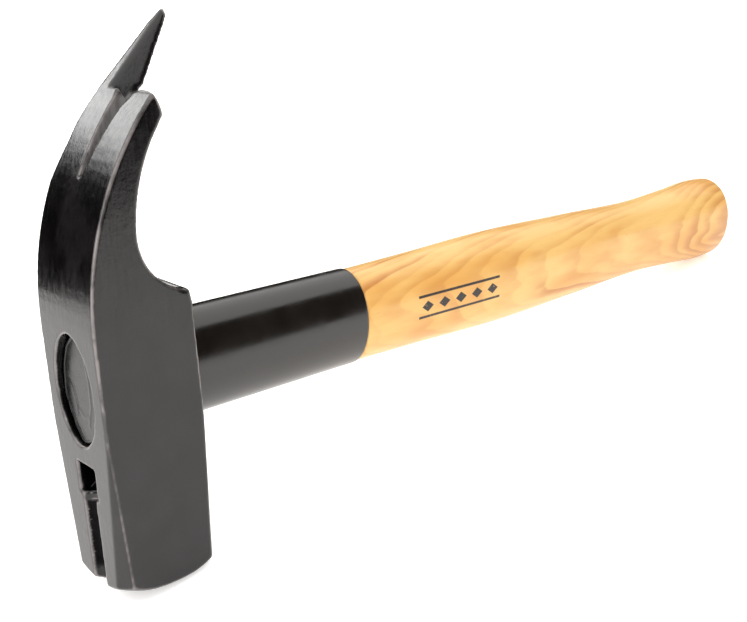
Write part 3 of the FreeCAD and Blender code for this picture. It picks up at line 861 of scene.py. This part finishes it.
# lacquered end of the handle in the eye
sealForm = {
    "gap": 0.0004,  # where the film has shrunk away from the eye
    "lowGap": 0.0013,  # where it has torn, low on the side of the tine
    "tornTowards": -52,  # degrees round the eye, from the side of the tine
    "cleftTowards": -118,
    "bead": 0.00022,  # raised rim of the film
    "beadPlace": 0.955,  # as a share of the eye
    "beadWidth": 0.025,
    "wrinkle": 0.00008,
    "foldWidth": 0.045,
}

# folds in the film, as points across and up the eye, each from -1 to 1
filmFolds = [
    [(0.92, 0.16), (0.62, 0.12), (0.42, -0.05), (0.36, -0.30), (0.30, -0.52)],
    [(0.55, -0.62), (0.30, -0.78), (0.02, -0.86)],
    [(-0.25, 0.62), (-0.42, 0.20), (-0.45, -0.25), (-0.30, -0.62)],
    [(0.30, -0.42), (-0.05, -0.50), (-0.30, -0.46)],
]


def toLine(points, line):
    # distance from each point to a line through the given places
    best = np.full(len(points), 1e9)
    for a, b in zip(line[:-1], line[1:]):
        a, b = np.array(a), np.array(b)
        run = b - a
        share = np.clip(((points - a) @ run) / (run @ run), 0, 1)
        best = np.minimum(best, np.linalg.norm(points - a - share[:, None] * run, axis=1))
    return best


def sealMesh(form):
    own = ownPoints("eye_seal")
    front, back = own[:, 0].min(), own[:, 0].max()
    halfWide, halfTall = own[:, 1].max(), own[:, 2].max()
    count, steps = 224, 60
    turn = np.linspace(0, 2 * math.pi, count, endpoint=False)
    ragged = np.array([noise.noise(Vector((math.cos(t) * 4, math.sin(t) * 4, 1.7))) for t in turn])
    shrink = form["gap"] * smoothStep(np.cos(turn), 0.0, 0.7) * (0.8 + 0.8 * ragged)
    torn = smoothStep(np.cos(turn - math.radians(form["tornTowards"])), 0.80, 0.97)
    shrink = shrink + form["lowGap"] * torn * (0.8 + 0.7 * ragged)
    cleft = form["gap"] * smoothStep(np.cos(turn - math.radians(form["cleftTowards"])), 0.80, 0.97)
    shrink += cleft
    rings = []
    for share in np.linspace(0.02, 1.0, steps):
        across, up = np.cos(turn) * share, np.sin(turn) * share
        y = across * (halfWide - shrink)
        z = up * (halfTall - shrink)
        flat = np.stack([across, up], axis=1)
        rise = np.zeros(count)
        for line in filmFolds:
            rise += form["wrinkle"] * np.exp(-((toLine(flat, line) / form["foldWidth"]) ** 2))
        offRim = (share - form["beadPlace"]) / form["beadWidth"]
        bead = form["bead"] * math.exp(-(offRim**2))
        fall = float(smoothStep(share, 0.97, 1.0)) * 0.0003
        x = front + form["bead"] - rise - bead + fall
        rings.append(np.stack([x, y, z], axis=1))
    edgeY = np.cos(turn) * (halfWide - shrink * 0.9)
    edgeZ = np.sin(turn) * (halfTall - shrink * 0.9)
    rings.append(np.stack([np.full(count, back), edgeY, edgeZ], axis=1))
    rings.append(np.stack([np.full(count, back), edgeY * 0.5, edgeZ * 0.5], axis=1))
    return sweepRings("eyeSeal", rings)


sealLook = {
    "dark": (0.006, 0.0063, 0.0062, 1),
    "light": (0.013, 0.0135, 0.013, 1),
    "ior": 1.38,
}


def sealFilm(look):
    finish = Finish("sealFilm")
    cloudy = finish.noise(finish.place, 260, 4, 0.6)
    colour = finish.mix(finish.spread(cloudy, 0.35, 0.7), look["dark"], look["light"])
    finish.set(
        Base_Color=colour,
        Roughness=finish.spread(cloudy, 0.3, 0.7, 0.22, 0.30),
        IOR=look["ior"],
        Normal=finish.bump(cloudy, 0.00002, 0.3),
    )
    return finish.material


addPiece("eyeSeal", sealMesh(sealForm), sealFilm(sealLook), "seal_resin", "eye_seal")
print("seal made")


# magnet and wedges
magnetForm = {"rim": 0.12, "sides": 64}
steelLook = {
    "magnet": (0.55, 0.55, 0.57, 1),
    "magnetRough": 0.25,
    "wedge": (0.5, 0.5, 0.5, 1),
    "wedgeRough": 0.4,
}
beechLook = {
    "dark": (0.42, 0.26, 0.13, 1),
    "pale": (0.58, 0.38, 0.21, 1),
    "fleck": (0.28, 0.15, 0.07, 1),
    "rough": 0.6,
}


def magnetMesh(form):
    own = ownPoints("nail_magnet")
    front, back = own[:, 0].min(), own[:, 0].max()
    middle = (own.max(0) + own.min(0)) / 2
    radius = (own[:, 1].max() - own[:, 1].min()) / 2
    rim = radius * form["rim"]
    rings = []
    turn = np.linspace(0, 2 * math.pi, form["sides"], endpoint=False)
    profile = [(front, 0.15), (front, 0.6), (front, 1 - form["rim"])]
    profile += [(front + rim, 1.0), (back - rim, 1.0), (back, 1 - form["rim"]), (back, 0.3)]
    for x, share in profile:
        rings.append(
            np.stack(
                [
                    np.full(form["sides"], x),
                    middle[1] + np.cos(turn) * radius * share,
                    middle[2] + np.sin(turn) * radius * share,
                ],
                axis=1,
            )
        )
    return sweepRings("nailMagnet", rings)


def brightSteel(name, tone, rough):
    finish = Finish(name)
    brushed = finish.noise(finish.stretched((400, 4000, 4000)), 1.0, 3, 0.6)
    specks = finish.noise(finish.place, 1800, 3, 0.6)
    dark = tuple(c * 0.75 for c in tone[:3]) + (1,)
    finish.set(
        Base_Color=finish.mix(specks, dark, tone),
        Metallic=1.0,
        Roughness=finish.spread(brushed, 0.3, 0.7, rough * 0.8, rough * 1.3),
        Normal=finish.bump(brushed, 0.00001, 0.4),
    )
    return finish.material


addPiece(
    "nailMagnet",
    magnetMesh(magnetForm),
    brightSteel("magnetPlate", steelLook["magnet"], steelLook["magnetRough"]),
    "magnet_steel",
    "nail_magnet",
)


def dressCadNode(name, material):
    piece = nodes[name]
    piece.data.materials.clear()
    piece.data.materials.append(material)


def beech(look):
    finish = Finish("wedgeBeech")
    fibres = finish.noise(finish.stretched((120, 2400, 2400)), 1.0, 3, 0.6)
    flecks = finish.noise(finish.stretched((500, 1800, 1800)), 1.0, 2, 0.5)
    colour = finish.mix(fibres, look["dark"], look["pale"])
    colour = finish.mix(finish.spread(flecks, 0.62, 0.72, 0.0, 0.5), colour, look["fleck"])
    finish.set(Base_Color=colour, Roughness=look["rough"], Normal=finish.bump(fibres, 0.00003, 0.4))
    return finish.material


wedgeSteel = brightSteel("wedgeSteel", steelLook["wedge"], steelLook["wedgeRough"])
dressCadNode("ring_wedge", wedgeSteel)
dressCadNode("eye_wedge", beech(beechLook))
print("magnet and wedges made")
